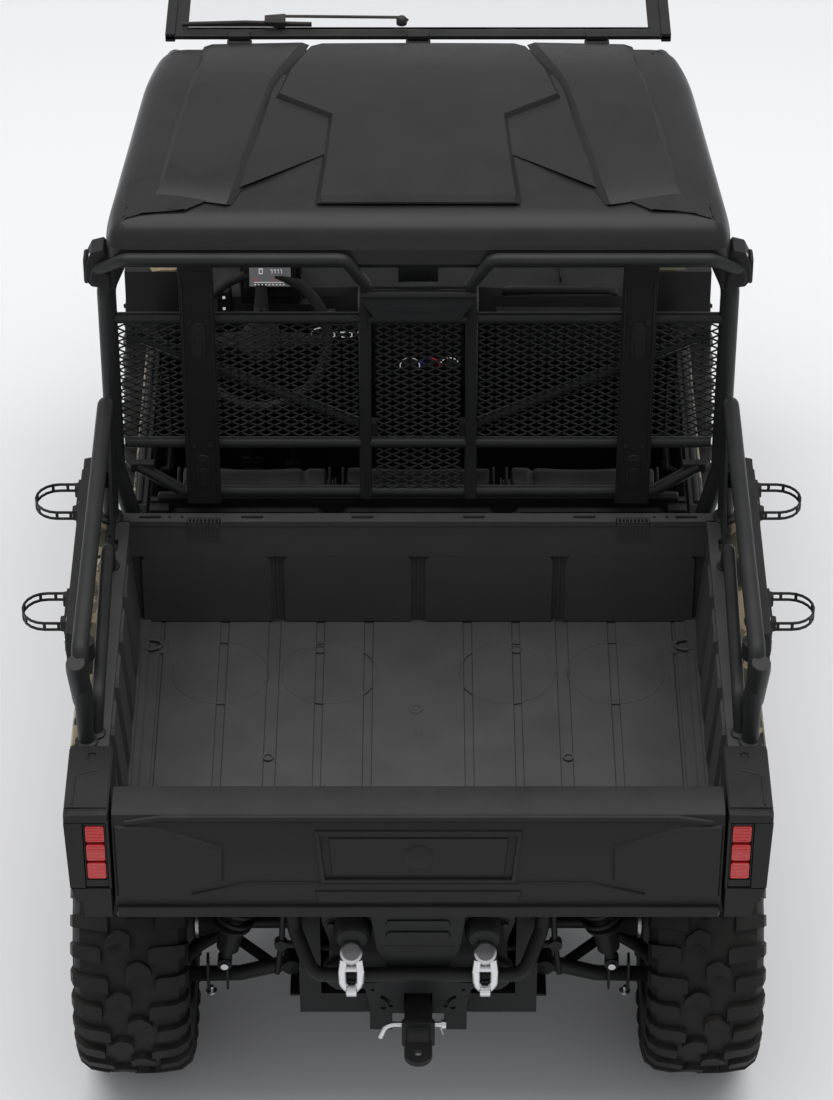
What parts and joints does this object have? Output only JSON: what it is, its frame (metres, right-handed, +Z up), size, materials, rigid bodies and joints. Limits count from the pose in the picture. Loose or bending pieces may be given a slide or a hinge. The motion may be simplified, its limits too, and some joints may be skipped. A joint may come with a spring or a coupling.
{
  "type": "side by side utility vehicle with tilting cargo bed",
  "caption": "Utility side by side with bench cab, hard roof, raised windscreen, rear screen and tilting cargo bed with rails.",
  "frame": {"origin": "on the ground, at the middle of the vehicle's length and width", "axes": "+Z up, -Y towards the nose, +Y towards the tail, +X towards the driver's side"},
  "size_m": [1.792, 3.09, 1.946],
  "materials": {
    "frame_steel": "satin black powder coat",
    "dark_plastic": "fine grained moulded plastic",
    "bed_plastic": "textured moulded plastic",
    "roof_plastic": "satin moulded plastic",
    "body_panel": "woodland pattern on moulded plastic",
    "cast_alloy": "sand cast",
    "rubber": "matte",
    "tyre": "matte rubber",
    "rim_steel": "satin black",
    "seat_vinyl": "grained vinyl",
    "clear_glass": "clear",
    "lamp_lens": "clear lens",
    "red_lens": "red lens",
    "zinc": "zinc plated"
  },
  "bodies": {
    "root": {"chassis_frame": "frame_steel", "skid_plate": "dark_plastic", "drive_cases": "cast_alloy", "engine_block": "cast_alloy", "half_shafts": "rubber", "rear_knuckles": "cast_alloy", "lower_arms": "frame_steel", "upper_arms": "frame_steel", "shocks": "frame_steel", "cab_floor": "dark_plastic", "side_sills": "dark_plastic", "roll_cage": "frame_steel", "rear_screen_frame": "frame_steel", "rear_screen_mesh": "frame_steel", "rear_screen_straps": "frame_steel", "roof": "roof_plastic", "windscreen_frame": "dark_plastic", "windscreen_glass": "clear_glass", "windscreen_wiper": "rubber", "seat_box": "dark_plastic", "seat_cushions": "seat_vinyl", "seat_backs": "seat_vinyl", "dashboard": "dark_plastic", "steering_column": "frame_steel", "front_fascia": "dark_plastic", "front_fenders": "body_panel", "headlamps": "lamp_lens", "front_bumper": "frame_steel", "rear_bumper": "frame_steel", "tail_bracket": "frame_steel", "drawbar": "frame_steel", "tow_shackles": "zinc"},
    "cargo_bed": {"cargo_tub": "bed_plastic", "bed_corner_posts": "dark_plastic", "tail_lamps": "red_lens", "bed_side_panels": "body_panel", "bed_side_rails": "frame_steel", "tool_racks": "rubber"},
    "tailgate": {"tailgate": "dark_plastic"},
    "hood": {"hood": "body_panel"},
    "door_left": {"door_left": "body_panel"},
    "door_right": {"door_right": "body_panel"},
    "knuckle_left": {"knuckle_left": "cast_alloy"},
    "knuckle_right": {"knuckle_right": "cast_alloy"},
    "steering_rack": {"tie_rods": "frame_steel"},
    "steering_wheel": {"steering_wheel": "rubber"},
    "wheel_front_left": {"tyre_front_left": "tyre", "rim_front_left": "rim_steel"},
    "wheel_front_right": {"tyre_front_right": "tyre", "rim_front_right": "rim_steel"},
    "wheel_rear_left": {"tyre_rear_left": "tyre", "rim_rear_left": "rim_steel"},
    "wheel_rear_right": {"tyre_rear_right": "tyre", "rim_rear_right": "rim_steel"}
  },
  "joints": [
    {"name": "bed_tilt", "type": "hinge", "parent": "root", "child": "cargo_bed", "pos_m": [0, 1.315, 0.715], "axis": [-1, 0, 0], "range_deg": [0, 40]},
    {"name": "tailgate_drop", "type": "hinge", "parent": "cargo_bed", "child": "tailgate", "pos_m": [0, 1.428, 0.822], "axis": [-1, 0, 0], "range_deg": [0, 90]},
    {"name": "hood_lift", "type": "hinge", "parent": "root", "child": "hood", "pos_m": [0, -0.802, 1.152], "axis": [-1, 0, 0], "range_deg": [0, 45]},
    {"name": "door_left_swing", "type": "hinge", "parent": "root", "child": "door_left", "pos_m": [0.687, -0.601, 0.7], "axis": [0, 0, -1], "range_deg": [0, 70]},
    {"name": "door_right_swing", "type": "hinge", "parent": "root", "child": "door_right", "pos_m": [-0.687, -0.601, 0.7], "axis": [0, 0, 1], "range_deg": [0, 70]},
    {"name": "steer_left", "type": "hinge", "parent": "root", "child": "knuckle_left", "pos_m": [0.575, -1.055, 0.3555], "axis": [0, 0, 1], "range_deg": [-30, 30]},
    {"name": "steer_right", "type": "hinge", "parent": "root", "child": "knuckle_right", "pos_m": [-0.575, -1.055, 0.3555], "axis": [0, 0, 1], "range_deg": [-30, 30]},
    {"name": "rack_shift", "type": "slide", "parent": "root", "child": "steering_rack", "axis": [1, 0, 0], "range_m": [-0.058, 0.058]},
    {"name": "steering_wheel_turn", "type": "hinge", "parent": "root", "child": "steering_wheel", "pos_m": [0.395, -0.3, 1.085], "axis": [0, 0.8192, 0.5736], "range_deg": [-272, 272]},
    {"name": "wheel_front_left_spin", "type": "hinge", "parent": "knuckle_left", "child": "wheel_front_left", "pos_m": [0.6805, -1.055, 0.3555], "axis": [1, 0, 0], "continuous": true},
    {"name": "wheel_front_right_spin", "type": "hinge", "parent": "knuckle_right", "child": "wheel_front_right", "pos_m": [-0.6805, -1.055, 0.3555], "axis": [1, 0, 0], "continuous": true},
    {"name": "wheel_rear_left_spin", "type": "hinge", "parent": "root", "child": "wheel_rear_left", "pos_m": [0.6625, 1.055, 0.3555], "axis": [1, 0, 0], "continuous": true},
    {"name": "wheel_rear_right_spin", "type": "hinge", "parent": "root", "child": "wheel_rear_right", "pos_m": [-0.6625, 1.055, 0.3555], "axis": [1, 0, 0], "continuous": true}
  ],
  "couplings": [
    {"joint": "steer_right", "follows": "steer_left", "ratio": 1},
    {"joint": "rack_shift", "follows": "steer_left", "m_per_rad": 0.107},
    {"joint": "steering_wheel_turn", "follows": "steer_left", "ratio": 9}
  ]
}
